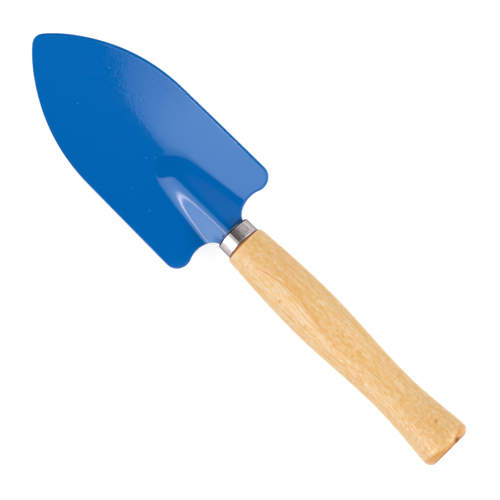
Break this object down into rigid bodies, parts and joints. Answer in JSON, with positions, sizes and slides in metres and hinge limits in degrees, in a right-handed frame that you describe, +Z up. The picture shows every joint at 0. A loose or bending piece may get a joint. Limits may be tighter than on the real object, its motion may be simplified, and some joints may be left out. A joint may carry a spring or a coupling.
{
  "type": "garden trowel",
  "caption": "Hand trowel: a pressed steel scoop with a ribbed neck and folded tang, a short steel ferrule and a turned wooden grip.",
  "frame": {"origin": "on the ground under the middle of the tool's length, with the tool lying on its back", "axes": "+X along the handle and blade towards the tip, +Y across the blade, +Z up out of the open side of the scoop"},
  "size_m": [0.3138, 0.072, 0.028],
  "materials": {
    "blue_paint": "glossy enamel with a faint orange peel",
    "ferrule_steel": "bright drawn tube, finely brushed round",
    "handle_wood": "clear lacquer over pale straight-grained wood"
  },
  "bodies": {
    "root": {"blade": "blue_paint", "ferrule": "ferrule_steel", "handle": "handle_wood"}
  },
  "joints": []
}
